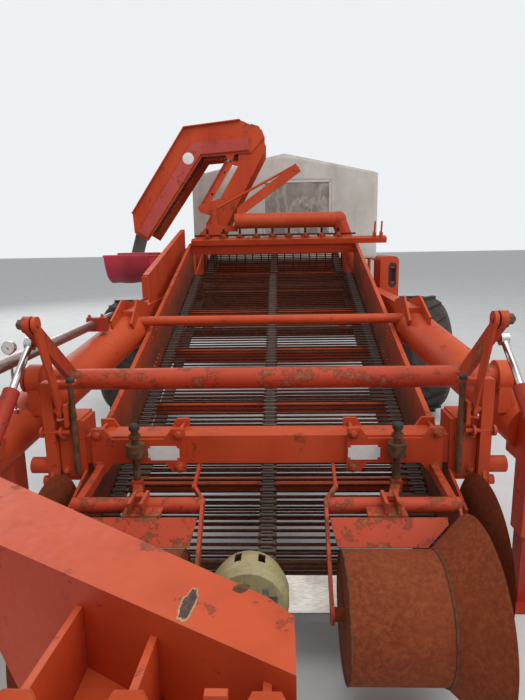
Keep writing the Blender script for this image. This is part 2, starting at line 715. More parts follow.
PLATE_Y, PLATE_Z, PLATE_SIZE = BEAM_Y - 0.0752, 0.737, (0.131, 0.002, 0.062)
for label, x in (("left", -0.425), ("right", 0.405)):
    rounded_plate("blank_plate_" + label, (x, PLATE_Y, PLATE_Z), PLATE_SIZE, PLATE_WHITE, "intake")
print("two blank plates of", PLATE_SIZE[0], "by", PLATE_SIZE[2], "m")

# %% [markdown]
# ## Threads and caps of the screw spindles
# The depth of each ridge roller is set with an upright screw. A true helix is a long twisted mesh.
# A saw-toothed stack of rings has fewer faces and reads the same at this size, so the thread is
# made that way, and a dark cap keeps the rain off its end.

# %% Screws
SPINDLE_Y, CAP_Z = -1.466, 0.8545
THREAD_SPANS, THREAD_PITCH = ((0.6415, 0.741), (0.8352, 0.853)), 0.005
THREAD_ROOT, THREAD_CREST = 0.0138, 0.0160
COLUMN_CAP = (0.783, -1.447, 1.0522)
bm, caps = bmesh.new(), bmesh.new()
for label, side in SIDES:
    for foot, head in THREAD_SPANS:
        teeth = [(0.0, THREAD_ROOT)]
        for k in range(int((head - foot) / THREAD_PITCH)):
            teeth.append((THREAD_PITCH * (k + 0.5), THREAD_CREST))
            teeth.append((THREAD_PITCH * (k + 1), THREAD_ROOT))
        ring_stack(bm, (side * CLAMP_X, SPINDLE_Y, foot), UPWARD, teeth, 16)
    ring_stack(caps, (side * CLAMP_X, SPINDLE_Y, CAP_Z), UPWARD,
               [(0, 0.021), (0.014, 0.0225), (0.022, 0.019), (0.027, 0.011), (0.028, 0.003)], 20)
    ring_stack(caps, (side * COLUMN_CAP[0], *COLUMN_CAP[1:]), UPWARD,
               [(0, 0.017), (0.010, 0.018), (0.016, 0.013), (0.018, 0.003)], 16)
screw_threads = finished_piece("screw_threads", bm, RUST_DARK, "intake", 80)
finished_piece("screw_caps", caps, RUBBER, "intake", 60)
print("threads:", len(screw_threads.data.polygons), "faces")

# %% [markdown]
# ## The web's loop
# The sieving web runs over rollers as a long loop with round ends, on a frame that slopes. All
# that sits on it is placed by how far it lies along the web and off it. The loop could be a curve
# object, but the solid model steps along its own straight pieces, so the same steps are taken here
# and every station falls exactly on a rod.

# %% Stations along the web
WEB_FRONT = Vector((0.0, -1.474, 0.348))
WEB_LENGTH, WEB_TURN = 3.210, 0.120
ROD_COUNT, WEB_HALF = 180, 0.752
BELT_WIDTH, BELT_MARGIN = 0.075, 0.008


def web_point(x, y, z):
    """A point given along and off the sloping web, in the machine's own frame."""
    return WEB_FRONT + Vector((x, y * math.cos(WEB_SLOPE) - z * math.sin(WEB_SLOPE),
                               y * math.sin(WEB_SLOPE) + z * math.cos(WEB_SLOPE)))


def web_way(x, y, z):
    """A direction given along and off the sloping web."""
    return web_point(x, y, z) - WEB_FRONT


def loop_stations(length, radius, count, steps=12):
    """Evenly spaced points on a belt loop with round ends, each with its outward direction."""
    corners = []
    for centre, sign in ((0.0, -1), (length, 1)):
        for k in range(steps + 1):
            a = math.pi * k / steps
            corners.append(Vector((centre + sign * radius * math.sin(a),
                                   -sign * radius * math.cos(a) - radius)))
    corners.append(corners[0])
    spans = [(b - a).length for a, b in zip(corners, corners[1:])]
    stations, passed, k = [], 0.0, 0
    for i in range(count):
        target = i * sum(spans) / count
        while passed + spans[k] < target:
            passed += spans[k]
            k += 1
        step = (corners[k + 1] - corners[k]).normalized()
        stations.append((corners[k] + step * (target - passed), step, Vector((step.y, -step.x))))
    return stations


stations = loop_stations(WEB_LENGTH, WEB_TURN, ROD_COUNT)
print("stations on the web:", len(stations))

# %% [markdown]
# ## Clips that hold the rods to the belts
# On the real web every rod is pressed flat where it crosses a belt and riveted down under a small
# saddle, and the saddles give the three belts their ladder look. A bump pattern on the belt would
# vanish from the side. Each saddle is a small arched strap with a rivet at both feet, set over its
# rod at every station and joined into one mesh.

# %% Saddles on the belts
SADDLE_HALF, SADDLE_REACH, SADDLE_RISE = 0.026, 0.0155, 0.0072


def saddle(bm, x, centre, step, out):
    """An arched strap over a rod, at a point of the loop."""
    reach, rise = SADDLE_REACH, SADDLE_RISE
    profile = [(-reach, -rise * 0.55), (-rise * 0.9, -rise * 0.35), (-rise * 0.5, rise),
               (rise * 0.5, rise), (rise * 0.9, -rise * 0.35), (reach, -rise * 0.55)]
    rows = []
    for edge in (x - SADDLE_HALF, x + SADDLE_HALF):
        places = [centre + step * a + out * b for a, b in profile]
        rows.append([bm.verts.new(web_point(edge, p.x, p.y)) for p in places])
    for k in range(len(profile) - 1):
        bm.faces.new((rows[0][k], rows[1][k], rows[1][k + 1], rows[0][k + 1]))
    bm.faces.new(rows[0])
    bm.faces.new(list(reversed(rows[1])))
    for a in (-reach * 0.78, reach * 0.78):
        foot = centre + step * a - out * rise * 0.5
        rivet(bm, web_point(x, foot.x, foot.y), web_way(0, out.x, out.y), 0.0045, 6)


bm = bmesh.new()
outer_belt = WEB_HALF - BELT_MARGIN - BELT_WIDTH / 2
for point, step, out in stations:
    for x in (-outer_belt, 0.0, outer_belt):
        saddle(bm, x, point, step, -out)
web_clips = finished_piece("web_clips", bm, CLIP_STEEL, "intake", 50)
print("saddles on the web:", ROD_COUNT * 3, "faces", len(web_clips.data.polygons))

# %% [markdown]
# ## Bolts of the web's side plates
# The long side plates are joined half way up with a bolted splice. Its heads are hexagons outside
# and low and round inside, so that nothing catches on them. Holes in the plates would hardly show;
# a row of real heads does. The comb rail's five bolts are in the same mesh.

# %% Splice bolts
SIDE_TOP, SIDE_OUTSIDE = 0.285, 0.770
SPLICE_ROWS, SPLICE_HEIGHTS = (1.410, 1.462, 1.518, 1.570), (0.055, 0.235)
RAIL_BOLTS_X = (-0.62, -0.22, 0.18, 0.58, 0.98)
bm = bmesh.new()
for label, side in SIDES:
    for y in SPLICE_ROWS:
        for z in SPLICE_HEIGHTS:
            bolt(bm, web_point(side * SIDE_OUTSIDE, y, z), (side, 0, 0), 0.020, spin=y)
            rivet(bm, web_point(side * WEB_HALF, y, z), (-side, 0, 0), 0.011, 14)
for x in RAIL_BOLTS_X:
    bolt(bm, web_point(x, WEB_LENGTH + 0.030, SIDE_TOP + 0.050), web_way(0, 0, 1), 0.018, spin=x)
splice_bolts = finished_piece("splice_bolts", bm, OVERSPRAYED, "intake")
print("splice bolts:", len(splice_bolts.data.polygons), "faces")

# %% [markdown]
# ## Springs and clamps of the comb rail
# The comb rail carries a coil spring at each tine, wound from one wire with an open middle, so a
# tine that meets a stone can swing back. Rings on a rod would look alike from afar, but the coils
# cross the light at a slant, so the wire follows a true helix here. Each tine's clamp is a small
# four-sided plate with one bolt.


# %% Tine springs and clamps
def coil(bm, at, start, end, turns, radius, wire, sides=6, steps=14):
    """A helix of round wire about a line along X; at() turns its points into places."""
    rings = []
    total = turns * steps
    for k in range(total + 1):
        a = 2 * math.pi * k / steps
        x = start + (end - start) * k / total
        rings.append([bm.verts.new(at(x + s, (radius + c) * math.cos(a),
                                      (radius + c) * math.sin(a)))
                      for c, s in on_circle(wire, sides)])
    join_rings(bm, rings)


def spring_point(x, y, z):
    """A point given from the axis on which the springs are wound."""
    return web_point(x, WEB_LENGTH + 0.1043 + y, SIDE_TOP + 0.030 + z)


TINES = [-0.600 + 0.150 * k for k in range(9)]
COIL_SPANS, COIL_TURNS = ((-0.036, -0.009), (0.009, 0.036)), 4
COIL_RADIUS, COIL_WIRE = 0.0262, 0.0032
bm = bmesh.new()
for x in TINES:
    for near, far in COIL_SPANS:
        coil(bm, spring_point, x + near, x + far, COIL_TURNS, COIL_RADIUS, COIL_WIRE)
tine_springs = finished_piece("tine_springs", bm, RUST_DARK, "intake", 60)

CLAMP_OUTLINE = [(-0.037, 0.0495), (0.037, 0.0495), (0.015, 0.100), (-0.015, 0.100)]
CLAMP_Y, CLAMP_THICK = WEB_LENGTH + 0.040, 0.006
bm = bmesh.new()
for k, middle in enumerate(TINES):
    thicken_outline(bm, [web_point(middle + x, CLAMP_Y, SIDE_TOP + z) for x, z in CLAMP_OUTLINE],
                    web_way(0, -CLAMP_THICK, 0))
    bolt(bm, web_point(middle, CLAMP_Y - CLAMP_THICK, SIDE_TOP + 0.078), web_way(0, -1, 0),
         0.014, 0.003, k)
tine_clamps = finished_piece("tine_clamps", bm, OVERSPRAYED, "intake", 30)
print("springs:", len(tine_springs.data.polygons), "faces, clamps:",
      len(tine_clamps.data.polygons), "faces")

# %% [markdown]
# ## Weld beads and hub bolts of the working tools
# The ridge rollers are two pieces of plate: a drum and a flared rim, welded together all round. A
# plain ring there would look like a gasket. A hand-laid weld is a ring of overlapping scales, so
# the bead's radius swells and sinks as it goes round, with some noise on top. Weld and bolts ride
# on the roller and the disc, and turn with them.


# %% Weld beads and disc bolts
def weld_bead(bm, hub, x, radius, size, scales=110, sides=6):
    """A ring of weld about a line along X, at hub's y and z."""
    rings = []
    for k, (c, s) in enumerate(on_circle(1.0, scales * 2)):
        swell = size * (1.0 if k % 2 else 0.72)
        swell *= 1 + 0.25 * noise.noise(Vector((c * 3, s * 3, size)))
        rings.append([bm.verts.new((x + 1.5 * across, hub[0] + (radius + out) * c,
                                    hub[1] + (radius + out) * s))
                      for out, across in on_circle(swell, sides)])
    join_rows(bm, rings + rings[:1], closed=True)


def bolt_circle(bm, side, hub, radius, count, across, tail, start=0.0):
    """Bolts round a hub, given by its x, y and z, on one side of the machine."""
    x, y, z = hub
    for c, s in on_circle(radius, count, start):
        bolt(bm, (side * x, y + c, z + s), (side, 0, 0), across, tail)


ROLLER_HUB, DISC_HUB = (-1.998, 0.419), (0.840, -1.700, 0.440)
ROLLER_WELDS = ((0.5605, 0.1990, 0.0040), (0.2610, 0.1965, 0.0028))
for label, side in SIDES:
    bm = bmesh.new()
    for x, radius, size in ROLLER_WELDS:
        weld_bead(bm, ROLLER_HUB, side * x, radius, size)
    finished_piece("roller_weld_" + label, bm, RUST_DARK, "ridge_roller_" + label, 70)
    bm = bmesh.new()
    bolt_circle(bm, side, DISC_HUB, 0.046, 5, 0.014, 0.003, start=0.3)
    finished_piece("disc_bolts_" + label, bm, FASTENER, "disc_" + label)
print("weld beads at", [x for x, _, _ in ROLLER_WELDS], "m from the middle, five bolts a disc")

# %% [markdown]
# ## Wheel nuts and hub caps
# Each wheel sits on eight nuts round a pressed hub cap. They are too small to matter in the solid
# model, but a wheel without nuts looks unfinished from the side. They are made like the disc's
# bolts, and ride on the wheel so that they turn with it.

# %% Wheel hardware
WHEEL_HUB, HUB_CAP_X = (1.3665, 1.450, 0.540), 1.410
HUB_CAP = [(0, 0.062), (0.018, 0.061), (0.030, 0.054), (0.038, 0.038), (0.041, 0.016)]
for label, side in SIDES:
    bm = bmesh.new()
    bolt_circle(bm, side, WHEEL_HUB, 0.118, 8, 0.026, 0.008, start=math.pi / 8)
    ring_stack(bm, (side * HUB_CAP_X, *WHEEL_HUB[1:]), (side, 0, 0), HUB_CAP, 28)
    finished_piece("wheel_nuts_" + label, bm, FASTENER, "wheel_" + label)
print("eight wheel nuts and a cap on each side")

# %% [markdown]
# ## Bolts of the frame
# The knee gussets, the lever pins and the drive shaft's bearing blocks are bolted up, and the
# paint was sprayed over most of them. Bare heads would stand out as too new, so the frame's bolts
# take the painted finish, and only the lever's nuts, which turn, are bare.

# %% Frame bolts
GUSSET_X = 0.933
GUSSET_BOLTS = ((-0.325, 1.045), (-0.205, 1.175), (-0.040, 1.150), (0.045, 1.020), (-0.200, 0.975))
BEARINGS_Y, BEARING_TOP = (-0.495, 0.205), 1.183
LEVER_PIN = (0.871, -1.600, 1.310)
bm, nuts = bmesh.new(), bmesh.new()
for label, side in SIDES:
    for y, z in GUSSET_BOLTS:
        bolt(bm, (side * GUSSET_X, y, z), (side, 0, 0), 0.026, spin=y)
    bolt(nuts, (side * LEVER_PIN[0], *LEVER_PIN[1:]), (side, 0, 0), 0.034, spin=0.4)
for y in BEARINGS_Y:
    bolt(bm, (-0.950, y, BEARING_TOP), UPWARD, 0.018)
    bolt(bm, (-1.024, y, BEARING_TOP), UPWARD, 0.016, 0.003)
frame_bolts = finished_piece("frame_bolts", bm, OVERSPRAYED, "chassis")
finished_piece("lever_nuts", nuts, FASTENER, "lift_shaft")
print("frame bolts:", len(frame_bolts.data.polygons), "faces")

# %% [markdown]
# ## Rubber lip of the chain guard's slot
# The right chain guard has a dark slot in its front, with a rubber lip round it. A torus can't be
# stretched into such a long shape with straight sides, so the lip is four loops of points, each a
# rectangle with half-round ends, joined from the outside in. A black plate is the slot's floor.

# %% Slot lip
SLOT = Vector((1.041, 1.2497, 1.285))
SLOT_FLOOR_Y, SLOT_FLOOR_SIZE = 1.2735, (0.040, 0.002, 0.118)
LIP_LOOPS = ((0.0345, 0.108, 0.0), (0.0335, 0.107, -0.0035), (0.0215, 0.0725, -0.0035),
             (0.0205, 0.0715, 0.0))
LIP_POINTS = 36
bm = bmesh.new()
layers = []
for half_width, half_height, y in LIP_LOOPS:
    straight = half_height - half_width
    layers.append([bm.verts.new(SLOT + Vector((x, y, z + math.copysign(straight, z))))
                   for x, z in on_circle(half_width, LIP_POINTS, math.pi / LIP_POINTS)])
join_rows(bm, layers, closed=True)
slot_lip = finished_piece("slot_lip", bm, RUBBER, "chassis", 50)
rounded_plate("slot_floor", (SLOT.x, SLOT_FLOOR_Y, SLOT.z), SLOT_FLOOR_SIZE, RUBBER, "chassis",
              corner=0.004, holes=False)
print("slot lip:", len(slot_lip.data.polygons), "faces")

# %% [markdown]
# ## Sleeve and disc of the long drive shaft
# The long shaft has worn bright between its bearing blocks, and carries a rubber disc. Its colour
# could change along the shaft in the material, but two thin sleeves over it put the bright steel
# exactly between the blocks.

# %% Shaft sleeve and disc
SHAFT_X, SHAFT_Z, DISC_Y = -1.000, 1.145, -0.116
BRIGHT_SPANS = ((-1.699, -0.522), (-0.468, -0.118))
SHAFT_DISC = [(0, 0.026), (0.0015, 0.050), (0.006, 0.0545), (0.030, 0.0545), (0.0345, 0.050),
              (0.036, 0.026)]
bm = bmesh.new()
for start, end in BRIGHT_SPANS:
    run = end - start
    ring_stack(bm, (SHAFT_X, start, SHAFT_Z), BACKWARD,
               [(0, 0.0245), (0.001, 0.0252), (run - 0.001, 0.0252), (run, 0.0245)], 40)
shaft_sleeve = finished_piece("shaft_sleeve", bm, WORN_SHAFT, "chassis", 60)
bm = bmesh.new()
ring_stack(bm, (SHAFT_X, DISC_Y, SHAFT_Z), BACKWARD, SHAFT_DISC, 40)
finished_piece("shaft_rubber_disc", bm, RUBBER, "chassis", 60)
print("shaft sleeve:", len(shaft_sleeve.data.polygons), "faces")

# %% [markdown]
# ## Pressure gauge
# A pressure gauge stands on a pipe from the drawbar tube, in a chromed case with a raised rim. Its
# outline could be drawn once and spun round by a modifier. A stack of rings does the same here
# with the helper that is already there, and the pale dial is one more, very flat stack.

# %% Gauge
GAUGE = Vector((-1.092, -1.300, 1.168))
CASE = [(-0.016, 0.012), (-0.014, 0.026), (0.008, 0.0275), (0.010, 0.030), (0.0135, 0.030),
        (0.015, 0.0275)]
PIPE_FOOT, PIPE_LENGTH, PIPE_RADIUS = 0.876, 0.268, 0.006
PIPE_NUTS = ((0.872, 0.022), (1.112, 0.020))
bm = bmesh.new()
ring_stack(bm, GAUGE, FORWARD, CASE, 36)
ring_stack(bm, (GAUGE.x, GAUGE.y, PIPE_FOOT), UPWARD,
           [(0, PIPE_RADIUS), (PIPE_LENGTH, PIPE_RADIUS)], 16)
for z, high in PIPE_NUTS:
    ring_stack(bm, (GAUGE.x, GAUGE.y, z), UPWARD,
               [(0, 0.0105), (0.002, 0.012), (high - 0.002, 0.012), (high, 0.0105)], 6)
gauge_case = finished_piece("gauge_case", bm, CHROME, "chassis")
bm = bmesh.new()
ring_stack(bm, GAUGE, FORWARD, [(0.0152, 0.0255), (0.0157, 0.0255)], 36)
gauge_dial = finished_piece("gauge_dial", bm, PLATE_WHITE, "chassis")
print("gauge:", len(gauge_case.data.polygons) + len(gauge_dial.data.polygons), "faces")

# %% [markdown]
# ## The gauge's ticks and needle
# A real dial is printed, and a picture of one would be the short way, but a picture blurs close
# by. Here the ticks and the needle are thin rods just above the blank dial, which stay sharp.

# %% Ticks and needle of the gauge
TICK_COUNT, TICK_RING, TICK_LENGTH, TICK_RADIUS = 11, 0.0192, 0.0045, 0.0006
bm = bmesh.new()
for k in range(TICK_COUNT):
    a = math.radians(-45 + 27 * k)
    out = Vector((math.cos(a), 0, math.sin(a)))
    ring_stack(bm, GAUGE + TICK_RING * out + Vector((0, -0.0158, 0)), out,
               [(0, TICK_RADIUS), (TICK_LENGTH, TICK_RADIUS)], 4)
ring_stack(bm, GAUGE + Vector((0.006, -0.0162, -0.006)), (-0.7, 0, 0.7),
           [(0, 0.0009), (0.024, 0.0004)], 6)
ring_stack(bm, GAUGE, FORWARD, [(0.0155, 0.0028), (0.0178, 0.0022)], 12)
finished_piece("gauge_needle", bm, RUBBER, "chassis")
print("gauge has", TICK_COUNT, "ticks and a needle")

# %% [markdown]
# ## Red side panel of the elevator
# The folded section carries a second, deeper red panel over the lower half of its wall, held by
# pop rivets, with a blank round plate where the two runs meet. Another colour on the wall would
# have no edge to catch the light. So the panel is cut as one polygon, thickened, and its rim is
# bevelled a little; the rivets follow its outline at even steps.

# %% Elevator panel
ELEVATOR_WALL_Y = 2.119
PANEL = [(-0.800, 2.556), (-0.238, 2.586), (-0.229, 2.479), (-0.710, 2.448), (-1.289, 1.644),
         (-1.381, 1.706)]
PANEL_THICK, RIVET_STEP, RIVET_INSET = 0.0025, 0.14, 0.014
PANEL_FACE_Y = ELEVATOR_WALL_Y - 0.003
bm = bmesh.new()
thicken_outline(bm, [(x, ELEVATOR_WALL_Y - 0.0005, z) for x, z in PANEL], (0, -PANEL_THICK, 0))
rim = [e for e in bm.edges if all(v.co.y < ELEVATOR_WALL_Y - 0.002 for v in e.verts)]
bmesh.ops.bevel(bm, geom=rim, offset=0.0012, segments=2, affect="EDGES")
for a, b in zip(PANEL, PANEL[1:] + PANEL[:1]):
    start, end = Vector(a), Vector(b)
    count = max(1, round((end - start).length / RIVET_STEP))
    inward = Vector((end.y - start.y, start.x - end.x)).normalized() * RIVET_INSET
    for k in range(count):
        inside = start.lerp(end, (k + 0.5) / count) + inward
        rivet(bm, (inside.x, PANEL_FACE_Y, inside.y), FORWARD, 0.005)
elevator_panel = finished_piece("elevator_panel", bm, PAINT_PANEL, "elevator_upper")
bm = bmesh.new()
ring_stack(bm, (-0.836, PANEL_FACE_Y, 2.408), FORWARD,
           [(0, 0.056), (0.0015, 0.056), (0.002, 0.054)], 40)
finished_piece("blank_round_plate", bm, PLATE_WHITE, "elevator_upper")
print("panel:", len(elevator_panel.data.polygons), "faces")

# %% [markdown]
# ## Knocks in the paint
# Two larger scars on the beam in front show primer and bare, rusted steel. The paint's own noise
# makes chips in random places, and these two have a place of their own. So each is an irregular
# outline, drawn as a skin a third of a millimetre proud. The large one is pale primer with a
# darker skin of bare steel inside it.

# %% Paint scars
SCAR_POINTS, SCAR_RAGGED, SCAR_SUNK = 36, 0.34, 0.0004
PRIMER = rusted("rust_and_primer", (0.26, 0.13, 0.06), (0.42, 0.26, 0.13), (0.55, 0.38, 0.20),
                grain=90.0, metal=0.0)
BARE_SCAR = rusted("bare_scar", (0.045, 0.030, 0.030), (0.10, 0.065, 0.060), (0.17, 0.10, 0.085),
                   grain=90.0)


def scar(name, centre, length, width, turn, finish, seed, lift=0.0003):
    """A thin patch with a ragged outline, lying level; seed picks the outline."""
    points = []
    for c, s in on_circle(1.0, SCAR_POINTS):
        ragged = 1 + SCAR_RAGGED * noise.noise(Vector((2.2 * c, 2.2 * s, seed)))
        x, y = 0.5 * length * ragged * c, 0.5 * width * ragged * s
        points.append(Vector(centre) + Vector((x * math.cos(turn) - y * math.sin(turn),
                                               x * math.sin(turn) + y * math.cos(turn), lift)))
    bm = bmesh.new()
    thicken_outline(bm, points, (0, 0, -lift - SCAR_SUNK))
    return finished_piece(name, bm, finish, "chassis")


scar("scar_large", (-0.106, -2.672, 0.950), 0.098, 0.030, 1.45, PRIMER, 3.1)
scar("scar_large_core", (-0.106, -2.671, 0.950), 0.086, 0.0225, 1.45, BARE_SCAR, 3.1, 0.0006)
scar("scar_small", (-0.012, -2.6225, 0.950), 0.034, 0.026, 0.4, RUST_DARK, 8.2)
print("two scars, the large one with a core")

# %% [markdown]
# ## The weather cover's outline
# The standing deck has a coated cloth cover, laid over steel bows. Seen from behind, its roof and
# side walls are one line that turns at the eaves and the ridge. Sharp turns would look like sheet
# metal, so each corner is rounded with a small curve, and the line is then cut into even steps.

# %% Outline of roof and walls
COVER_X, COVER_HALF = 0.130, 1.130
COVER_FRONT, COVER_BACK = 3.350, 4.400
COVER_FOOT, EAVE, RIDGE = 1.360, 2.380, 2.620
COVER_INSET, CORNER_ROUND, OUTLINE_STEP = 0.003, 0.030, 0.024
ROOF_SLOPE = (RIDGE - EAVE) / COVER_HALF


def rounded_outline(corners, radius, step):
    """A polyline with rounded corners: even points with inward normals, and its length."""
    path = [Vector(corners[0])]
    for a, b, c in zip(corners, corners[1:], corners[2:]):
        a, b, c = Vector(a), Vector(b), Vector(c)
        into, out = (b - a).normalized(), (c - b).normalized()
        start, end = b - into * radius, b + out * radius
        for k in range(7):
            t = k / 6
            path.append(start * (1 - t) ** 2 + b * 2 * t * (1 - t) + end * t * t)
    path.append(Vector(corners[-1]))
    total = sum((b - a).length for a, b in zip(path, path[1:]))
    count = round(total / step)
    points, k, passed = [], 0, 0.0
    for i in range(count + 1):
        target = min(total * i / count, total - 1e-9)
        while passed + (path[k + 1] - path[k]).length < target:
            passed += (path[k + 1] - path[k]).length
            k += 1
        along = (path[k + 1] - path[k]).normalized()
        points.append((path[k] + along * (target - passed), Vector((along.y, -along.x))))
    return points, total


wall_left = COVER_X - COVER_HALF + COVER_INSET
wall_right = COVER_X + COVER_HALF - COVER_INSET
outline, outline_length = rounded_outline(
    [(wall_left, COVER_FOOT), (wall_left, EAVE - COVER_INSET), (COVER_X, RIDGE - COVER_INSET),
     (wall_right, EAVE - COVER_INSET), (wall_right, COVER_FOOT)], CORNER_ROUND, OUTLINE_STEP)
print("outline of", len(outline), "points,", round(outline_length, 3), "m long")

# %% [markdown]
# ## The cover's roof and side walls
# Cloth between two bows hangs in a shallow belly, and the walls ripple where the hem is slack. A
# cloth simulation could find such a shape, but it moves the cloth outwards too, and this cover may
# not grow past the space that its solid takes. So a grid runs round the outline one way and along
# the machine the other, and each point is pushed inwards only, by a belly and by soft folds.

# %% Roof and side walls
COVER_ROWS, COVER_SAG, FOLD_DEPTH = 44, 0.020, 0.007
CLOTH_THICK = 0.0014
BOWS = (COVER_FRONT + COVER_INSET, COVER_FRONT + 0.340, COVER_BACK - 0.130,
        COVER_BACK - COVER_INSET)


def cloth_piece(name, bm, finish, thick=CLOTH_THICK, offset=0.0):
    """A smooth sheet on the frame, with the thickness of its cloth."""
    piece = finished_piece(name, bm, finish, "chassis", 180)
    thicken = piece.modifiers.new("thickness", "SOLIDIFY")
    thicken.thickness = thick
    thicken.offset = offset
    return piece


def cover_push(y, z, s):
    """How far the cover lies inwards at y and z, with s from 0 to 1 round the outline."""
    span = next((a, b) for a, b in zip(BOWS, BOWS[1:]) if y <= b + 1e-6)
    belly = math.sin(math.pi * (y - span[0]) / (span[1] - span[0]))
    off_ridge = abs(s - 0.5)
    slack = math.sin(math.pi * min(1.0, off_ridge * 2.6)) if off_ridge < 0.27 else 1.0
    low_hem = max(0.0, 1.0 - (z - COVER_FOOT) / 0.5)
    fold = noise.noise(Vector((y * 5.5, s * 3.0, 1.7)))
    fold += 0.5 * noise.noise(Vector((y * 13.0, s * 9.0, 4.2)))
    return 0.35 * COVER_SAG * belly * slack + FOLD_DEPTH * max(0.0, fold) * (0.4 + low_hem)


bm = bmesh.new()
grid = []
for i in range(COVER_ROWS + 1):
    y = COVER_FRONT + COVER_INSET + (COVER_BACK - COVER_FRONT - 2 * COVER_INSET) * i / COVER_ROWS
    row = []
    for k, (p, inward) in enumerate(outline):
        spot = p + inward * cover_push(y, p.y, k / (len(outline) - 1))
        row.append(bm.verts.new((spot.x, y, spot.y)))
    grid.append(row)
join_rows(bm, grid)
weather_cover = cloth_piece("weather_cover", bm, TARP)
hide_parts("canopy")
print("cover cut", round(COVER_BACK - COVER_FRONT, 3), "by", round(outline_length, 3), "m")

# %% [markdown]
# ## The cover's front wall
# The front wall is a second piece of cloth, sewn to the first along the bow, with an opening for a
# window. The opening could be cut out of a finished sheet, which leaves ragged cells. Here the
# wall is a grid whose lines pass exactly through the opening's edges, and the cells inside are
# left out, so its edge stays straight while the cloth round it ripples.

# %% Front wall with its opening
WINDOW_X, WINDOW_Z = (-0.125, 0.682), (1.650, 2.290)
WALL_Y, WALL_INSET, WALL_CELL = COVER_FRONT + 0.0032, 0.004, 0.034
GABLE_CELLS, RIPPLE_DEPTH = 6, 0.008


def even_steps(start, end, step, *kept):
    """Evenly spaced values that also hit the given ones exactly."""
    marks = [start, *kept, end]
    values = []
    for a, b in zip(marks, marks[1:]):
        count = max(1, round((b - a) / step))
        values += [a + (b - a) * k / count for k in range(count)]
    return values + [end]


def inside_cover(x, z):
    """How far a point of the wall lies inside the cover's outer face."""
    walls = min(x - (COVER_X - COVER_HALF), COVER_X + COVER_HALF - x)
    roof = (RIDGE - ROOF_SLOPE * abs(x - COVER_X) - z) / math.sqrt(1 + ROOF_SLOPE * ROOF_SLOPE)
    return min(walls, roof)


def wall_ripple(x, z):
    """Soft vertical folds, pushed back from the front plane."""
    fold = noise.noise(Vector((x * 7.0, z * 1.6, 9.3)))
    fold += 0.5 * noise.noise(Vector((x * 15.0, z * 4.0, 2.2)))
    edge = min(1.0, inside_cover(x, z) / 0.12)
    return RIPPLE_DEPTH * max(0.0, 0.35 + fold) * max(0.0, edge)


below = even_steps(COVER_FOOT, WINDOW_Z[0], WALL_CELL)[:-1]
beside = even_steps(*WINDOW_Z, WALL_CELL)[:-1]
xs = even_steps(COVER_X - COVER_HALF + WALL_INSET, COVER_X + COVER_HALF - WALL_INSET, WALL_CELL,
                *WINDOW_X)
bm = bmesh.new()
columns = []
for x in xs:
    top = RIDGE - 0.005 - ROOF_SLOPE * abs(x - COVER_X)
    above = [WINDOW_Z[1] + (top - WINDOW_Z[1]) * k / GABLE_CELLS for k in range(GABLE_CELLS + 1)]
    columns.append([bm.verts.new((x, WALL_Y + wall_ripple(x, z), z))
                    for z in below + beside + above])
wall_area = 0.0
for a, b, xa, xb in zip(columns, columns[1:], xs, xs[1:]):
    beside_window = xa >= WINDOW_X[0] - 1e-6 and xb <= WINDOW_X[1] + 1e-6
    for k in range(len(a) - 1):
        if not (beside_window and len(below) <= k < len(below) + len(beside)):
            wall_area += bm.faces.new((a[k], b[k], b[k + 1], a[k + 1])).calc_area()
cover_front = cloth_piece("cover_front_wall", bm, TARP)
print("front wall:", round(wall_area, 2), "m2 of cloth")

# %% [markdown]
# ## The window's foil
# The window is clear foil that has gone brown, milky and creased. Plain glass would show the
# inside too clearly, so the foil lets only a third of the light through, takes its colour from
# noise, and has pale lines where a narrow band of the crease noise is picked out. The sheet
# itself is pushed back by the same kind of noise, so it really bulges behind the opening.

# %% Window
FOIL_LAP, FOIL_CELL, FOIL_BULGE, FOIL_THICK = 0.012, 0.03, 0.012, 0.0006
FOIL_Y = WALL_Y + 0.0035
foil = Finish("milky_foil")
cloud = foil.noise(6.0, 5.0, 0.6)
crease = foil.noise(5.0, 6.0, 0.55, stretch=(1.0, 1.0, 0.6))
tone = foil.mix(foil.fade(cloud, 0.3, 0.7), (0.40, 0.35, 0.31), (0.23, 0.195, 0.165))
crease_line = foil.ramp(crease, [(0.46, 0.0), (0.52, 0.8), (0.58, 0.0)])
foil.colour(foil.mix(crease_line, tone, (0.52, 0.46, 0.41)))
foil.roughness(foil.fade(cloud, 0.2, 0.8, low=0.12, high=0.38))
foil.bump(crease, 0.8, 0.02)
foil.set(Transmission_Weight=0.35, IOR=1.2)
foil_xs = even_steps(WINDOW_X[0] - FOIL_LAP, WINDOW_X[1] + FOIL_LAP, FOIL_CELL)
foil_zs = even_steps(WINDOW_Z[0] - FOIL_LAP, WINDOW_Z[1] + FOIL_LAP, FOIL_CELL)
bm = bmesh.new()
grid = []
for z in foil_zs:
    bulges = [FOIL_BULGE * abs(noise.noise(Vector((x * 5.0, z * 5.0, 7.0)))) for x in foil_xs]
    grid.append([bm.verts.new((x, FOIL_Y + bulge, z)) for x, bulge in zip(foil_xs, bulges)])
join_rows(bm, grid)
window = cloth_piece("cover_window", bm, foil.material, FOIL_THICK, -1.0)
print("window:", len(window.data.polygons), "cells")

# %% [markdown]
# ## Hems round the window
# A doubled strip of cloth is sewn round the window. Stitches could be a bump pattern, but they
# should run straight along each strip, which a pattern in space can't do. So a strip is a narrow
# raised band, and its two rows of stitches are small pyramids set along it.

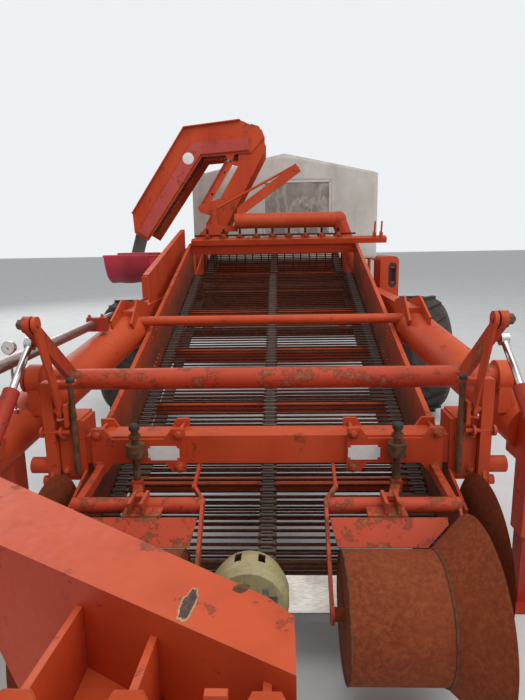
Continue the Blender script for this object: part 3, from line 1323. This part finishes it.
# %% Hems and stitches
HEM_HALF, HEM_PROUD = 0.013, 0.0012
STITCH_STEP, STITCH_IN, STITCH_HEIGHT = 0.011, 0.004, 0.0008
HEM_PROFILE = ((-HEM_HALF, 0.0), (-HEM_HALF + 0.001, HEM_PROUD), (HEM_HALF - 0.001, HEM_PROUD),
               (HEM_HALF, 0.0))
STITCH = ((-1, -1, 0), (1, -1, 0), (1, 1, 0), (-1, 1, 0), (0, 0, 1))


def hem(bm, start, end, outward):
    """A sewn strip between two points, raised along outward, with two rows of stitches."""
    start, end, outward = Vector(start), Vector(end), Vector(outward)
    along = (end - start).normalized()
    across = along.cross(outward)
    join_rows(bm, [[bm.verts.new(place + across * w + outward * d) for w, d in HEM_PROFILE]
                   for place in (start, end)])
    for k in range(int((end - start).length / STITCH_STEP)):
        for w in (-HEM_HALF + STITCH_IN, HEM_HALF - STITCH_IN):
            place = start + along * STITCH_STEP * (k + 0.5) + across * w + outward * HEM_PROUD
            bump = [bm.verts.new(place + along * STITCH_STEP * 0.33 * a
                                 + (across * b + outward * c) * STITCH_HEIGHT)
                    for a, b, c in STITCH]
            for m in range(4):
                bm.faces.new((bump[m], bump[(m + 1) % 4], bump[4]))


bm = bmesh.new()
(x0, x1), (z0, z1) = WINDOW_X, WINDOW_Z
hem_y = WALL_Y - HEM_PROUD
for xa, za, xb, zb in ((x0, z0, x1, z0), (x0, z1, x1, z1), (x0, z0, x0, z1), (x1, z0, x1, z1)):
    hem(bm, (xa, hem_y, za), (xb, hem_y, zb), FORWARD)
cover_hems = finished_piece("cover_hems", bm, TARP, "chassis", 60)
print("hems:", len(cover_hems.data.polygons), "faces")

# %% [markdown]
# ## The crimson cloth trough
# The cloth hangs between two rods over the left wheel and catches what falls from the elevator. A
# hanging sheet is steep at its ends and flat at the bottom. A simulation would find that curve, but
# the solid trough already has it. So the cloth follows a chain of points with a loop round each
# rod, joined by a smooth interpolation, and soft folds run from the rods down to the belly.

# %% Trough
TROUGH_X, TROUGH_COLUMNS = (-1.503, -1.097), 26
ROD_A, ROD_B, LOOP_RADIUS = Vector((1.330, 1.480)), Vector((1.780, 1.490)), 0.0118
LOOP_POINTS, LOOP_STEP = 11, 24
BELLY = [(1.3205, 1.470), (1.3430, 1.383), (1.4025, 1.293), (1.501, 1.2345), (1.600, 1.2245),
         (1.698, 1.2640), (1.7630, 1.3630), (1.7895, 1.482)]
TROUGH_FOLD, ROD_HEIGHT = 0.010, 1.47


def smooth_chain(points, parts):
    """Catmull-Rom interpolation through points."""
    pts = [Vector(p) for p in points]
    pts = [pts[0] * 2 - pts[1]] + pts + [pts[-1] * 2 - pts[-2]]
    result = []
    for a, b, c, d in zip(pts, pts[1:], pts[2:], pts[3:]):
        for k in range(parts):
            t = k / parts
            result.append(0.5 * (2 * b + (c - a) * t + (2 * a - 5 * b + 4 * c - d) * t * t
                                 + (3 * b - a - 3 * c + d) * t ** 3))
    return result + [pts[-2]]


def rod_loop(rod, start):
    """Points round a rod, from an angle in degrees."""
    angles = [math.radians(start + LOOP_STEP * k) for k in range(LOOP_POINTS)]
    return [rod + LOOP_RADIUS * Vector((math.cos(a), math.sin(a))) for a in angles]


chain = rod_loop(ROD_A, -60) + smooth_chain(BELLY, 6)[1:-1] + rod_loop(ROD_B, 0)
trough_xs = [TROUGH_X[0] + (TROUGH_X[1] - TROUGH_X[0]) * k / TROUGH_COLUMNS
             for k in range(TROUGH_COLUMNS + 1)]
bm = bmesh.new()
grid = []
for i, p in enumerate(chain):
    push = Vector((0, 0))
    if LOOP_POINTS <= i < len(chain) - LOOP_POINTS:
        along = (chain[i + 1] - chain[i - 1]).normalized()
        depth = max(0.0, (ROD_HEIGHT - p.y) / 0.25)
        push = Vector((-along.y, along.x)) * TROUGH_FOLD * min(1.0, depth * 2 + 0.15)
    row = []
    for x in trough_xs:
        fold = noise.noise(Vector((x * 13.0, i * 0.07, 3.3)))
        spot = p + push * max(0.0, 0.3 + fold)
        row.append(bm.verts.new((x, spot.x, spot.y)))
    grid.append(row)
join_rows(bm, grid)
cloth_trough = cloth_piece("cloth_trough", bm, CRIMSON)
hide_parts("chute")

# %% [markdown]
# ## The floor
# A pale floor catches the machine's shadow, which says where the wheels stand. Without one it would
# float. A small plane would show its edges, so this one is wide enough for its far edge to read as
# a horizon. It is marked as stage, so it isn't part of the machine.

# %% Floor
FLOOR_REACH = 60
FLOOR_CORNERS = [(x * FLOOR_REACH, y * FLOOR_REACH, 0)
                 for x, y in ((-1, -1), (1, -1), (1, 1), (-1, 1))]
floor_mesh = bpy.data.meshes.new("floor")
floor_mesh.from_pydata(FLOOR_CORNERS, [], [(0, 1, 2, 3)])
floor = bpy.data.objects.new("floor", floor_mesh)
floor_finish = Finish("pale_floor")
floor_finish.colour(floor_finish.ramp(floor_finish.noise(3.0), [(0.3, (0.60, 0.60, 0.59)),
                                                                (0.7, (0.66, 0.66, 0.65))]))
floor_finish.set(Roughness=0.95)
floor_mesh.materials.append(floor_finish.material)
bpy.context.collection.objects.link(floor)
print("floor", 2 * FLOOR_REACH, "m wide")
